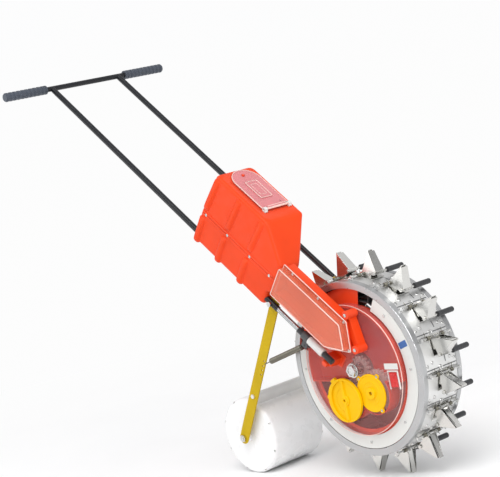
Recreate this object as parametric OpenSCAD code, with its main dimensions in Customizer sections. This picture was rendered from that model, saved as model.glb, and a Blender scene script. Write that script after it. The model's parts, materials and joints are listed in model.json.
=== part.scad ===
// Walking punch seeder: a duckbill planting wheel on a two-tube handle, with a seed hopper,
// a chute and metering gears on the right side, and a sprung press roller behind.
// X points forward, Y to the machine's left, Z up. All lengths are millimetres.

/* [Planting wheel] */
// Outer radius of the wheel rims
ring_r = 226; // [200:1:260]
// Width of the wheel over its two rims
wheel_w = 140; // [120:1:160]
// Distance from the axle to the tips of the beaks
tip_r = 294; // [285:1:300]
// Angle that a beak opens when its lever is pressed
beak_open = 10; // [0:1:10]

/* [Handle] */
// Slope of the handle tubes above level
slope = 40.5; // [38:0.5:43]
// Distance from the axle line to the handlebar, along the tubes
bar_s = 1310; // [1150:5:1400]
// Distance between the centres of the two handle tubes
tube_gap = 240; // [236:1:250]
// Outer radius of the handle tubes
tube_r = 8; // [7.8:0.1:8.2]
// Length of the handlebar over its grips
bar_w = 570; // [480:5:640]
// Length of one grip
grip_len = 142; // [110:1:150]
// Radius of a grip over its ribs
grip_r = 13; // [12:0.5:16]

/* [Hopper] */
// Height of the hopper's flat top above the tube line
hopper_top_h = 190; // [180:1:200]
// Rear wall of the hopper, along the tubes
hopper_rear = 606; // [580:1:640]
// Wall thickness of the moulded plastic parts
wall = 3; // [2.5:0.1:3.2]

/* [Press roller] */
// Radius of the press roller
roller_r = 104.7; // [95:0.1:108]
// Length of the press roller
roller_len = 184; // [160:1:190]
// How far the roller's axle is behind the wheel's axle
roller_back = 457; // [450:1:480]

/* [Hidden] */
$fn = 64;
fine = 180;                       // sides of the large rings

slack = 0.05;                     // running clearance on pins and shafts
eps = 0.1;                        // space between parts of one body

// Wheel
beak_count = 16;
beak_pitch = 360 / beak_count;
beak_first = beak_pitch / 2;
screw_turn = beak_pitch / 2;
half_w = wheel_w / 2;
plate_t = 1.5;
plate_r = ring_r - 1.5;           // outer face of the tread plates
plate_half = 54;
rim_in_r = 208;
shelf_r = plate_r - plate_t - eps;
shelf_y = 43;
plate_screw_y = 48;
disc_bolt_r = 201;
plate_lead = 15.9;                // a plate runs from just behind its own beak's pin to the next one
plate_trail = -6.2;

// Beak, in its own frame: x leads, z is height above the tread plates
pin_x = -20;
pin_z = 6.5;
pin_r = 2.5;
lever_x = 26;
lever_z = 15.5;
lever_r = 3;
sleeve_r = 6;
blade_t = 1.6;
beak_h = tip_r - plate_r;         // height of the fixed half
bill_h = beak_h - 3;              // height of the moving half
fixed_half_base = 12.5;
moving_half_base = 15.8;
taper = 5;                        // how much each side narrows up to the tip
tip_half = 1;
stance = beak_pitch / 2;          // the two lowest beaks stand either side of straight down
tip_reach = tip_r * cos(stance) + tip_half * sin(stance);

// Tubes, in the tube frame: s runs up the tubes from the axle line, h is square to it
tube_y = tube_gap / 2;
tube_h = 5;
bar_r = 7.5;
tube_wall = 1.4;
inner_r = tube_r - tube_wall - eps;
upper_from = 259;
lower_from = 45.2;
lower_to = 340;
pivot_s = 285;
bolt_r = 4;

// Overall placing: ground at z = 0, middle of the overall box at x = 0
bar_x = -bar_s * cos(slope) + tube_h * sin(slope);
x_shift = -(bar_x - grip_r + tip_reach) / 2;
z_shift = tip_reach;

// Press frame
strut_t = 4;
strut_w = 32;
strut_y = 111;                    // outer face of a strut
spring_y = strut_y - 2;
pivot_x = -pivot_s * cos(slope) + tube_h * sin(slope);
pivot_z = pivot_s * sin(slope) + tube_h * cos(slope);
roller_z = roller_r - tip_reach;
strut_len = norm([roller_back + pivot_x, pivot_z - roller_z]);
strut_lean = atan2(roller_z - pivot_z, -roller_back - pivot_x);
roller_axle_r = 6;
cap_t = 14;
spare_holes = [198, 212, 226];
anchor_s = 144;                   // pin that the upper end of each spring hooks on
anchor_h = -25;
scraper_u = strut_len - 142;
scraper_half = strut_y - strut_t - 0.2;
hook_u = 182;
hole_off = 9;                     // holes stand this far in front of a strut's centre line
hook_hole_r = 2.75;
hook_r = 5.5;
hook_off = 13.5;
hook_x = pivot_x + hook_u * cos(strut_lean) - (hook_off + hook_r) * sin(strut_lean);
hook_z = pivot_z + hook_u * sin(strut_lean) + (hook_off + hook_r) * cos(strut_lean);
wire_r = 1.2;
eye_r = 4.2;
anchor_x = -anchor_s * cos(slope) + anchor_h * sin(slope);
anchor_z = anchor_s * sin(slope) + anchor_h * cos(slope);

// Gears
gear_mod = 4;
gear_add = 0.85;
hub_teeth = 14;
idler_teeth = 25;
seed_teeth = 22;
gear_lo = -60;
gear_hi = -50;
idler_dir = -47;
seed_dir = -169;
idler_c = gear_mod * (hub_teeth + idler_teeth) / 2 * [cos(idler_dir), sin(idler_dir)];
seed_c = idler_c + gear_mod * (idler_teeth + seed_teeth) / 2 * [cos(seed_dir), sin(seed_dir)];
stub_r = 5;
backlash = 0.18;

// Side cover
disc_r = 169;
disc_face = -84;
disc_t = 2.5;
open_from = 14;                   // clear window in the guard, clockwise from straight up
open_to = 31;
ring_screw_at = [45:45:270];
ring_screw_r = 190;
gear_lugs = [135, 55, -60];
gate = [128, 154, -41, -4];       // left, right, bottom and top of the clean-out gate
gate_travel = 14;

// Hopper
hop_lo = -12;
seam_h = 78;
hop_front = 288;
hop_slant_s = 391;
hop_slant_h = 116;
hop_foot_s = 304;
hop_right = -131;
hop_left = 22;
floor_h = 18;
mouth_s = [455, 556];
mouth_y = [-86, -8];
lid_mid = -47;
lid_half = 45;
hinge_s = 432;
hinge_h = hopper_top_h + 6;

// Chute
chute_back = -86.2;
chute_face = -122;
cover_face = -141;
boss_a = [58, 148];
boss_b = [-7, 88];
boss_r = 11;

// ---------------------------------------------------------------- helpers

// Draws a flat outline in the XZ plane, thick from y0 to y1
module xz(y0, y1) { translate([0, y1, 0]) rotate([90, 0, 0]) linear_extrude(y1 - y0) children(); }
// A round bar along Y
module ybar(r, y0, y1, x = 0, z = 0, f = $fn) {
    translate([x, y1, z]) rotate([90, 0, 0]) cylinder(r = r, h = y1 - y0, $fn = f);
}
module ring(r1, r0, y0, y1, f = $fn) {
    difference() {
        ybar(r1, y0, y1, f = f);
        ybar(r0, y0 - 1, y1 + 1, f = f);
    }
}
// Places children with x = -s and z = h, along the slope of the tubes
module on_slope() { rotate([0, slope, 0]) children(); }
// A round bar along the tubes
module sbar(r, s0, s1, y, h = tube_h, f = $fn) {
    translate([-s0, y, h]) rotate([0, -90, 0]) cylinder(r = r, h = s1 - s0, $fn = f);
}
module around(n, first = 0) { for (i = [0:n - 1]) rotate([0, first + i * 360 / n, 0]) children(); }
module both_sides() { for (m = [0, 1]) mirror([0, m, 0]) children(); }
module machine() { translate([x_shift, 0, z_shift]) children(); }
// Outline of a sector, angles clockwise from straight up
function sector(r, a0, a1, n = 12) =
    concat([[0, 0]], [for (i = [0:n]) let (a = a0 + (a1 - a0) * i / n) r * [sin(a), cos(a)]]);
function slope_points(list) = [for (p = list) [-p[0], p[1]]];

// A pan head screw along Y: head outside at y, shank going in for len
module side_screw(x, z, y, len, r = 1.6, head = 3.6, dir = 1) {
    translate([x, y, z]) rotate([-90 * dir, 0, 0]) {
        translate([0, 0, -2]) cylinder(r = head, h = 2, $fn = 24);
        translate([0, 0, -0.01]) cylinder(r = r, h = len, $fn = 24);
    }
}
module hexagon(flat) { circle(r = flat / sqrt(3), $fn = 6); }

// ---------------------------------------------------------------- handle

module crossbar() color("#26282b") machine()
    ybar(bar_r, -bar_w / 2 + 6, bar_w / 2 - 6, bar_x, bar_s * sin(slope) + tube_h * cos(slope));

module grip() {
    rib = 1.6;
    ribs = 9;
    start = bar_w / 2 - grip_len;
    step = (grip_len - 18) / ribs;
    translate([bar_x, 0, bar_s * sin(slope) + tube_h * cos(slope)]) difference() {
        union() {
            ybar(grip_r - rib, start + 5, bar_w / 2 - 2);
            ybar(grip_r, start, start + 5);
            ybar(grip_r, bar_w / 2 - 9, bar_w / 2 - 3);
            ybar(grip_r - 2, bar_w / 2 - 3, bar_w / 2);
            for (i = [0:ribs - 1]) ybar(grip_r, start + 9 + i * step, start + 9 + (i + 0.55) * step);
        }
        ybar(bar_r + eps, start - 1, bar_w / 2 - 5.9);
    }
}
module grip_left() color("#33373d") machine() grip();
module grip_right() color("#33373d") machine() mirror([0, 1, 0]) grip();

module handle_tube() {
    difference() {
        on_slope() difference() {
            sbar(tube_r, upper_from, bar_s, tube_y);
            sbar(tube_r - tube_wall, upper_from - 1, bar_s + 1, tube_y);
        }
        ybar(bar_r + eps, tube_y - 20, tube_y + 20, bar_x, bar_s * sin(slope) + tube_h * cos(slope));
        ybar(bolt_r + slack, tube_y - 20, tube_y + 20, pivot_x, pivot_z);
    }
}
module handle_tube_left() color("#26282b") machine() handle_tube();
module handle_tube_right() color("#26282b") machine() mirror([0, 1, 0]) handle_tube();

module lower_tubes() color("#b9bcc0") machine() both_sides() difference() {
    on_slope() difference() {
        sbar(inner_r, lower_from, lower_to, tube_y);
        sbar(inner_r - 1.4, lower_from - 1, lower_to + 1, tube_y);
    }
    ybar(bolt_r + slack, tube_y - 20, tube_y + 20, pivot_x, pivot_z);
}

// Black rubber sleeve, white bush and black end cap on each lower tube
module tube_sleeves() color("#26282b") machine() on_slope() both_sides() {
    for (piece = [[8.3, 133.2, 175], [11, 77.2, 133]]) difference() {
        sbar(piece[0], piece[1], piece[2], tube_y);
        sbar(inner_r + eps, piece[1] - 1, piece[2] + 1, tube_y);
    }
    difference() {
        sbar(8, 42, 77, tube_y);
        sbar(inner_r + eps, 45, 78, tube_y);
    }
}

// ---------------------------------------------------------------- axle and frame fittings

module axle() color("silver") machine() {
    ybar(10, -92, 126);
    ring(15, 10 + eps, 68.2, 107.6);
}

module nut(y0, y1, r, flat) {
    difference() {
        xz(y0, y1) hexagon(flat);
        ybar(r + eps, y0 - 1, y1 + 1);
    }
}

// Axle nuts and washers, and the two bolts that the press frame swings on
module frame_bolts() color("silver") machine() {
    ring(19, 10 + eps, -86.2, -84.2);
    nut(-94, -86.4, 10, 28);
    nut(112.1, 120, 10, 28);
    both_sides() translate([pivot_x, 0, pivot_z]) {
        ybar(bolt_r, 100, tube_y + tube_r + 0.6);
        xz(tube_y + tube_r + 0.5, tube_y + tube_r + 5.5) hexagon(13);
        nut(100.5, 106.6, bolt_r, 13);
    }
}

// Socket on the side cover that holds the end of the right tube
module tube_socket() color("#f2542d") machine() on_slope() difference() {
    union() {
        xz(-119, disc_face - eps)
            polygon(slope_points([[42.5, 9], [72, 9], [72, -6], [60, -17], [42.5, -13]]));
        xz(-131, -118.9) polygon(slope_points([[50, -5], [66, -5], [66, -12], [60, -17], [50, -15]]));
        xz(disc_face - 4, disc_face - eps)
            polygon(slope_points([[32, 18], [80, 18], [80, -10], [60, -24], [32, -16]]));
    }
    sbar(8 + slack, 41.8, 80, -tube_y);
}

// Plate and socket that join the left tube to the axle
module axle_bracket() color("#3a3c40") machine() difference() {
    union() {
        xz(107.8, 111.8) union() {
            circle(r = 20);
            rotate(180 - slope) translate([0, -19]) square([92, 38]);
        }
        on_slope() sbar(12, 38, 92, tube_y);
    }
    on_slope() sbar(8 + slack, 41.8, 76.9, tube_y);
    on_slope() sbar(11 + slack, 76.8, 95, tube_y);
    ybar(10 + slack, 100, 115);
}

// Clamps under the hopper, the brace to the left tube and the spring anchors
module tube_brackets() color("#3a3c40") machine() on_slope() {
    for (s = [352, 540]) translate([-s, 0, 0]) difference() {
        translate([-12, -132 + 4.2, tube_h - tube_r - 4]) cube([24, 19.6, tube_r * 2 + 5.2]);
        translate([-13, -tube_y - tube_r - eps, tube_h - tube_r - 9])
            cube([26, 2 * tube_r + 2 * eps, tube_r + 9]);
        translate([13, 0, 0]) sbar(tube_r + eps, 0, 26, -tube_y);
    }
    translate([-500, 0, tube_h - tube_r - 5])
        translate([-12, -tube_y - 10, 0]) cube([24, tube_gap + 20, 4.8]);
    both_sides() difference() {
        union() {
            translate([-155, spring_y - 7.5, -32]) cube([20, 15, 28]);
            sbar(11.6, 134, 156, tube_y);
        }
        sbar(8.3 + eps, 120, 180, tube_y);
        translate([-170, spring_y - 2.5, -36]) cube([50, 5, 24]);
        ybar(2.2, 0, 200, -anchor_s, anchor_h);
    }
    both_sides() ybar(2, spring_y - 8.5, spring_y + 8.5, -anchor_s, anchor_h);
}

// ---------------------------------------------------------------- hopper

// The hopper's outer form between two heights, or with inset > 0 the space inside its walls
module hopper_form(inset, low, high) {
    top = hopper_top_h - inset;
    intersection() {
        xz(hop_right + inset, hop_left - inset) polygon(slope_points([
            [hopper_rear - inset, hop_lo - 9], [hopper_rear - inset, top],
            [hop_slant_s + 0.4 * inset, top], [hop_front + inset, hop_slant_h - inset],
            [hop_front + inset, 40 + inset], [hop_foot_s + inset, 30 + inset],
            [hop_foot_s + inset, hop_lo - 9]]));
        // drafted side walls
        translate([-hopper_rear - 1, 0, 0]) rotate([90, 0, 90]) linear_extrude(hopper_rear)
            polygon([[hop_right + inset, hop_lo - 9], [hop_right + inset, seam_h],
                [-116 + inset, hopper_top_h + 1], [12 - inset, hopper_top_h + 1],
                [hop_left - inset, seam_h], [hop_left - inset, hop_lo - 9]]);
        // left front corner drawn in towards the chute
        translate([0, 0, low]) linear_extrude(high - low) polygon([
            [-hopper_rear - 2, hop_right - 2], [-hopper_rear - 2, hop_left + 2],
            [-392 - inset, hop_left + 2], [-392 - inset, hop_left],
            [-hop_front - inset, -58 - 1.2 * inset], [-hop_front + 1, -58 - 1.2 * inset],
            [-hop_front + 1, hop_right - 2]]);
    }
}
module outlet() {
    translate([-hop_front - 8, -112, 50]) cube([20, 48, 56]);
}
right_screws = [315, 396, 490, 582];
left_screws = [420, 500, 582];
module seam_holes() {
    for (s = right_screws) ybar(1.7, -140, -120, -s, seam_h);
    for (s = left_screws) ybar(1.7, 10, 30, -s, seam_h);
}

module hopper_top() color("#f2542d") machine() on_slope() {
    difference() {
        hopper_form(0, seam_h + eps, 300);
        hopper_form(wall, seam_h - 5, 299);
        translate([-mouth_s[1], mouth_y[0], hopper_top_h - 10])
            cube([mouth_s[1] - mouth_s[0], mouth_y[1] - mouth_y[0], 20]);
        outlet();
        seam_holes();
    }
    // peg that the lid snaps over
    translate([-574, lid_mid, hopper_top_h - 0.5]) cylinder(r = 4, h = 7);
}

module hopper_base() color("#f2542d") machine() on_slope() difference() {
    hopper_form(0, hop_lo, seam_h);
    hopper_form(wall, floor_h, seam_h + 5);
    // groove for the right tube, and the open underside
    translate([-hopper_rear - 1, hop_right + 2, hop_lo - 1])
        cube([hopper_rear, 22.5, 14.6 - hop_lo + 1]);
    translate([-hopper_rear + wall, -105, hop_lo - 1])
        cube([hopper_rear - hop_foot_s - 2 * wall, hop_left - wall + 105, floor_h - wall - hop_lo + 1]);
    translate([-514, -140, hop_lo - 1]) cube([28, 200, 10.5]);
    outlet();
    seam_holes();
}

// White clips that the lid hinges on
module lid_clips() color("white") machine() on_slope()
    for (y = [lid_mid - lid_half - 2, lid_mid + lid_half - 8]) translate([-hinge_s, y, 0]) {
        difference() {
            union() {
                translate([-5, 0, hopper_top_h + eps]) cube([13, 10, 5]);
                ybar(5.5, 0, 10, 0, hinge_h);
            }
            ybar(2.5 + slack, -1, 11, 0, hinge_h);
        }
    }

module hopper_lid() color([0.9, 0.4, 0.4, 0.5]) machine() on_slope() {
    low = hopper_top_h + 1;
    difference() {
        union() {
            translate([0, lid_mid, low]) linear_extrude(3) union() {
                translate([-hinge_s - 120, -lid_half]) square([112, 2 * lid_half]);
                intersection() {
                    translate([-hinge_s - 120, 0]) circle(r = lid_half);
                    translate([-hinge_s - 175, -lid_half]) square([56, 2 * lid_half]);
                }
            }
            translate([-544, lid_mid - 20, low + 2.9]) cube([70, 40, 3]);
            translate([-hinge_s - 9.5, lid_mid - 30, low + 2.9]) cube([7, 57, 5]);
        }
        translate([-574, lid_mid, low - 1]) cylinder(r = 4.6, h = 8);
    }
    ybar(2.5, lid_mid - lid_half + 0.5, lid_mid + lid_half - 0.5, -hinge_s, hinge_h);
    translate([-hinge_s - 5, lid_mid - 30, low + 2.5]) cube([5.5, 57, 4]);
}

// ---------------------------------------------------------------- chute

chute_outline = [[286, 136], [46, 138], [-1, 76], [66, 32], [286, 32]];
chute_inner = [[290, 124], [52, 126], [14, 77], [70, 44], [290, 44]];
chute_raised = [[285, 126], [51, 128], [11.5, 77], [69, 42], [285, 42]];
chute_screw = [[250, 131], [150, 131], [52, 132], [6, 76], [110, 38], [220, 38]];

module chute_window() {
    xz(-100, -60) polygon(slope_points([[26, 78], [52, 106], [92, 106], [92, 62], [52, 62]]));
}
module chute_body() color("#f2542d") machine() on_slope() {
    difference() {
        union() {
            xz(chute_face, chute_back) polygon(slope_points(
                [[286, 127], [50, 129], [11, 77], [69, 41], [286, 41]]));
            xz(chute_face, chute_face + 2.5) polygon(slope_points(chute_outline));
            for (b = [boss_a, boss_b]) ybar(boss_r, chute_face, chute_back, -b[0], b[1]);
            // web that ties the two bosses to the chute
            xz(-112, chute_back) polygon(slope_points([[62, 152], [52, 144], [-11, 95], [-2, 80], [66, 124]]));
        }
        xz(chute_face - 1, chute_back - wall) polygon(slope_points(chute_inner));
        chute_window();
        for (b = [boss_a, boss_b]) ybar(2.1, chute_face - 1, chute_back + 1, -b[0], b[1]);
        for (p = chute_screw) ybar(1.7, chute_face - 1, chute_face + 4, -p[0], p[1]);
    }
}
module chute_cover() color([0.95, 0.4, 0.35, 0.5]) machine() on_slope() difference() {
    union() {
        xz(chute_face - 2.6, chute_face - eps) polygon(slope_points(chute_outline));
        xz(cover_face, chute_face - eps) polygon(slope_points(chute_raised));
    }
    xz(cover_face + 2, chute_face + 1) polygon(slope_points(chute_inner));
    xz(chute_face - 5, chute_face + 1) polygon(slope_points([[286.1, 200], [300, 200], [300, 0], [286.1, 0]]));
    for (p = chute_screw) ybar(1.7, chute_face - 4, chute_face + 1, -p[0], p[1]);
}

// ---------------------------------------------------------------- side cover and metering

module housing_outline(in) {
    intersection() {
        circle(r = 163 - in, $fn = fine);
        translate([-200, -30 + in]) square(400);
    }
    translate(idler_c) circle(r = 58 - in);
    translate(seed_c) circle(r = 56 - in);
}
module seed_housing() color("#e84a2a") machine() {
    difference() {
        union() {
            xz(-81.4, -45.5) housing_outline(0);
            difference() {
                ring(206.5, 158, -62, -59.5, fine);
                xz(-70, -50) polygon(sector(230, open_from, open_to));
            }
        }
        xz(-90, -48) housing_outline(2.5);
        ybar(36.5, -90, -40);
        for (a = ring_screw_at) rotate([0, a, 0]) translate([0, 0, ring_screw_r]) ybar(1.7, -80, -50);
    }
    ybar(stub_r, -64, -47, idler_c[0], idler_c[1]);
    ybar(stub_r, -79, -47, seed_c[0], seed_c[1]);
}

module side_disc() color([0.92, 0.35, 0.38, 0.45]) machine() {
    difference() {
        union() {
            ybar(disc_r, disc_face, disc_face + disc_t, f = fine);
            ring(disc_r, disc_r - 2.5, disc_face, -62.1, fine);
        }
        ybar(10 + slack, -100, -60);
        ybar(41, -100, -60, seed_c[0], seed_c[1]);
        xz(-90, -80) polygon([[132, -36], [150, -36], [150, -9], [132, -9]]);
        on_slope() chute_window();
        on_slope() for (b = [boss_a, boss_b]) ybar(2.1, -90, -70, -b[0], b[1]);
    }
    // rails of the clean-out gate
    for (x = [gate[0] - 3, gate[1] + 0.4])
        xz(disc_face - 4, disc_face + 0.5) translate([x, gate[2] - gate_travel]) square([2.6, 54]);
}
module side_ring() color("white") machine() difference() {
    union() {
        difference() {
            ring(206.5, 172, -70, -67.5, fine);
            xz(-80, -60) polygon(sector(230, -74, open_to, 16));
        }
        for (a = ring_screw_at) rotate([0, a, 0]) translate([0, 0, ring_screw_r]) ybar(4, -67.6, -62.1);
    }
    for (a = ring_screw_at) rotate([0, a, 0]) translate([0, 0, ring_screw_r]) ybar(1.7, -80, -60);
}
module seed_cover() color("#f5c400") machine() translate([seed_c[0], 0, seed_c[1]]) {
    difference() {
        union() {
            ybar(57, -94, -88.5, f = 96);
            ybar(40, -88.6, -81);
            ring(57, 51, -97, -93.9, 96);
            xz(-99, -93.9) translate([-5, -51]) square([10, 102]);
            ybar(10, -99, -93.9);
        }
        ybar(4, -100, -80);
    }
}
module gear_cover() color("#f5c400") machine() difference() {
    union() {
        ybar(49, -87, disc_face - eps, idler_c[0], idler_c[1], 96);
        ybar(15, -92, -86.9, idler_c[0], idler_c[1]);
        for (a = gear_lugs) ybar(7, -87, disc_face - eps, idler_c[0] + 51 * cos(a), idler_c[1] + 51 * sin(a));
    }
    ybar(41.2, -95, -80, seed_c[0], seed_c[1]);
    ybar(5, -95, -80, idler_c[0], idler_c[1]);
    for (a = gear_lugs) ybar(1.7, -95, -80, idler_c[0] + 51 * cos(a), idler_c[1] + 51 * sin(a));
    ybar(20, -95, -80);
}

module seed_gate() color("#d8201c") machine() {
    xz(disc_face - 2.6, disc_face - 0.3) translate([gate[0], gate[2]])
        square([gate[1] - gate[0], gate[3] - gate[2]]);
    xz(disc_face - 5, disc_face - 2.5) translate([gate[0] + 4, gate[3] - 6])
        square([gate[1] - gate[0] - 8, 3]);
}

// Spur gear outline with involute flanks, one tooth centred on angle 0
function inv(a) = tan(a) - a * PI / 180;
function half_tooth(teeth, r) =
    let (rp = gear_mod * teeth / 2, rb = rp * cos(20), pr = acos(min(1, rb / max(r, rb))))
    90 / teeth + (inv(20) - inv(pr)) * 180 / PI - backlash * 180 / PI / rp;
function gear_points(teeth) =
    let (rp = gear_mod * teeth / 2,
         radii = [for (k = [0:3]) rp - 1.2 * gear_mod + k * (1.2 + gear_add) * gear_mod / 3])
    [for (i = [0:teeth - 1], j = [0:7])
        let (up = j < 4, r = radii[up ? j : 7 - j], a = i * 360 / teeth + (up ? -1 : 1) * half_tooth(teeth, r))
        r * [cos(a), sin(a)]];
// Phase that puts a gear in mesh with one whose phase is known, along direction dir
function meshed(phase, teeth_a, teeth_b, dir) =
    let (share = (dir - phase) * teeth_a / 360) dir + 180 - (0.5 - share) * 360 / teeth_b;
idler_phase = meshed(0, hub_teeth, idler_teeth, idler_dir);
seed_phase = meshed(idler_phase, idler_teeth, seed_teeth, seed_dir);

module hub_gear() color("#f0f0ee") machine() difference() {
    xz(gear_lo, gear_hi) polygon(gear_points(hub_teeth));
    ybar(16 + eps, gear_lo - 1, gear_hi + 1);
}
module idler_gear() color("#f0f0ee") machine() translate([idler_c[0], 0, idler_c[1]]) difference() {
    xz(gear_lo, gear_hi) rotate(idler_phase) polygon(gear_points(idler_teeth));
    ybar(stub_r + slack, gear_lo - 1, gear_hi + 1);
}
// Gear and pocketed metering drum in one moulding
module seed_wheel() color("#f0f0ee") machine() translate([seed_c[0], 0, seed_c[1]]) difference() {
    union() {
        xz(gear_lo, gear_hi) rotate(seed_phase) polygon(gear_points(seed_teeth));
        ybar(14, -62.5, gear_lo + 0.5);
        ybar(36, -79, -62);
    }
    ybar(stub_r + slack, -90, gear_hi + 1);
    around(12) translate([0, 0, 36]) ybar(5, -75, -66);
}

module case_screws() color("silver") machine() {
    on_slope() {
        for (p = chute_screw) side_screw(-p[0], p[1], chute_face - 2.65, 6);
        for (s = right_screws) side_screw(-s, seam_h, hop_right - 0.05, 2.5);
        for (s = left_screws) side_screw(-s, seam_h, hop_left + 0.05, 2.5, dir = -1);
        for (b = [boss_a, boss_b]) side_screw(-b[0], b[1], chute_face - 0.05, 40, 2, 4.5);
    }
    for (a = ring_screw_at) rotate([0, a, 0]) translate([0, 0, ring_screw_r]) side_screw(0, 0, -70.05, 10);
    for (a = gear_lugs)
        side_screw(idler_c[0] + 51 * cos(a), idler_c[1] + 51 * sin(a), -87.05, 2.9);
}

// ---------------------------------------------------------------- press frame

// Places children with x along a strut from its pivot to the roller axle, z in front of it
module strut_frame() {
    translate([pivot_x, 0, pivot_z]) rotate([0, -strut_lean, 0]) children();
}
module strut_outline() {
    union() {
        circle(r = strut_w / 2);
        translate([0, -strut_w / 2]) square([strut_len, strut_w]);
        translate([strut_len, 0]) circle(r = strut_w / 2);
    }
}
module strut() strut_frame() difference() {
    xz(-strut_y, -strut_y + strut_t) strut_outline();
    ybar(bolt_r + slack, -140, -90);
    ybar(roller_axle_r + slack, -140, -90, strut_len, 0);
    ybar(3.05, -140, -90, scraper_u, 0);
    for (u = concat(spare_holes, [hook_u])) ybar(hook_hole_r, -140, -90, u, hole_off);
}
module roller_struts() color("#d8b400") machine() both_sides() strut();

module roller_axle() color("silver") machine() translate([-roller_back, 0, roller_z]) {
    ybar(roller_axle_r, -strut_y - 7, strut_y + 7);
    both_sides() {
        nut(-strut_y - 6, -strut_y - 0.2, roller_axle_r, 18);
        ring(11, roller_axle_r + slack, -strut_y + strut_t + eps, -102.2);
    }
}

module scraper_bar() color("#d9dde0") machine() strut_frame() {
    translate([scraper_u - 11, -scraper_half, -1.5]) cube([22, 2 * scraper_half, 3]);
    translate([scraper_u + 8, -88, -1.5]) cube([strut_len - roller_r - 2.5 - scraper_u - 8, 176, 2]);
    both_sides() {
        difference() {
            translate([scraper_u - 9, -scraper_half, -9]) cube([18, 3, 18]);
            ybar(3.05, -140, -90, scraper_u, 0);
        }
        ybar(3, -strut_y - 4.4, -strut_y + strut_t + 7, scraper_u, 0);
        translate([scraper_u, 0, 0]) xz(-strut_y - 4.5, -strut_y - 0.2) hexagon(11);
    }
}

// Coil springs with hooked ends, from the struts to the anchors on the tubes
module tension_springs() color("#4a483c") machine() both_sides() {
    run = norm([anchor_x - hook_x, anchor_z - hook_z]);
    lean = atan2(anchor_z - hook_z, anchor_x - hook_x);
    strut_frame() translate([hook_u, -spring_y, hook_off]) rotate([0, 90, 0])
        rotate_extrude() translate([hook_r, 0]) circle(r = wire_r, $fn = 24);
    translate([anchor_x, -spring_y, anchor_z]) rotate([90, 0, 0])
        rotate_extrude() translate([eye_r, 0]) circle(r = wire_r, $fn = 24);
    translate([hook_x, -spring_y, hook_z]) rotate([0, -lean, 0]) rotate([0, 90, 0]) {
        translate([0, 0, 16]) cylinder(r = 8, h = run - 34);
        cylinder(r = wire_r, h = 17, $fn = 24);
        translate([0, 0, run - 19]) cylinder(r = wire_r, h = 19 - eye_r, $fn = 24);
    }
}

// ---------------------------------------------------------------- press roller

module at_roller() { translate([-roller_back, 0, roller_z]) children(); }
module roller_drum() color("#eceef0") machine() at_roller()
    ring(roller_r, roller_r - 2, -roller_len / 2 + cap_t, roller_len / 2 - cap_t, fine);

module roller_caps() color("#eceef0") machine() at_roller() both_sides() {
    edge = 12;
    side = roller_len / 2;
    rotate([-90, 0, 0]) rotate_extrude($fn = fine) difference() {
        union() {
            translate([12.2, side - 3]) square([roller_r - edge - 12.2, 3]);
            translate([12.2, side - 10]) square([12, 10]);
            translate([roller_r - edge, side - edge]) intersection() {
                circle(r = edge);
                square(edge);
            }
            translate([roller_r - 5.6, side - cap_t - 10]) square([3.5, 12]);
            translate([roller_r - 5.6, side - cap_t + eps]) square([5.6, 2.1]);
        }
        translate([roller_r - edge, side - edge]) circle(r = edge - 3);
        translate([roller_r - edge - 12, side - edge - 20]) square([15, 20 + edge - 3]);
    }
    ring(12.1, roller_axle_r + slack, side - 12, side + 10);
}

// ---------------------------------------------------------------- planting wheel

module rim_profile(inner, lip) {
    union() {
        translate([inner, half_w - 3]) square([ring_r - 2 - inner, 3]);
        translate([ring_r - 2, half_w - 2]) circle(r = 2);
        translate([ring_r - 4.5, plate_half + eps]) square([4.5, half_w - 2 - plate_half - eps]);
        translate([ring_r - 5.5, shelf_y]) square([shelf_r - ring_r + 5.5, half_w - shelf_y - 1]);
        if (lip) translate([inner, half_w - 8]) square([3.5, 8]);
    }
}
module rim(inner, lip, screw_r = 0) {
    difference() {
        rotate([-90, 0, 0]) rotate_extrude($fn = fine) rim_profile(inner, lip);
        around(beak_count) translate([0, plate_screw_y, ring_r - 12]) cylinder(r = 2.1, h = 20, $fn = 24);
        if (screw_r > 0) around(8) translate([0, 0, screw_r]) ybar(2.6, half_w - 12, half_w + 5);
    }
}
module ring_near() color("#c8cbce") machine() mirror([0, 1, 0]) rim(rim_in_r, true);
module ring_far() color("#c8cbce") machine() rim(194, false, disc_bolt_r);

module tread_plates() color("#c8cbce") machine() around(beak_count, beak_first) {
    difference() {
        union() {
            intersection() {
                ring(plate_r, plate_r - plate_t, -plate_half, plate_half, fine);
                xz(-60, 60) polygon(sector(260, plate_trail, plate_lead, 2));
            }
            for (y = [-51.5, 50]) translate([pin_x - 4, y, plate_r - 2]) cube([9, plate_t, pin_z + 7]);
        }
        translate([-11, -11, plate_r - 5]) cube([22, 22, 10]);
        ybar(pin_r + slack, -60, 60, pin_x, plate_r + pin_z);
        rotate([0, screw_turn, 0]) for (y = [-plate_screw_y, plate_screw_y])
            translate([0, y, plate_r - 8]) cylinder(r = 2.1, h = 20, $fn = 24);
    }
}

module wheel_screws() color("silver") machine() {
    around(beak_count) for (y = [-plate_screw_y, plate_screw_y]) translate([0, y, plate_r]) {
        translate([0, 0, 0.05]) cylinder(r = 4, h = 2, $fn = 24);
        translate([0, 0, -5]) cylinder(r = 2, h = 5.1, $fn = 24);
    }
    around(8) translate([0, 0, disc_bolt_r]) {
        ybar(2.5, half_w - 9, half_w + 0.5, f = 24);
        ybar(5, half_w + 0.1, half_w + 3, f = 24);
    }
}

module pivot_pins() color("silver") machine() around(beak_count, beak_first)
    translate([pin_x, 0, plate_r + pin_z]) {
        ybar(pin_r, -54, 54, f = 24);
        both_sides() {
            ybar(4.2, 51.6, 54, f = 24);
            ybar(4.6, 16.2, 17.6, f = 24);
        }
    }

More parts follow.
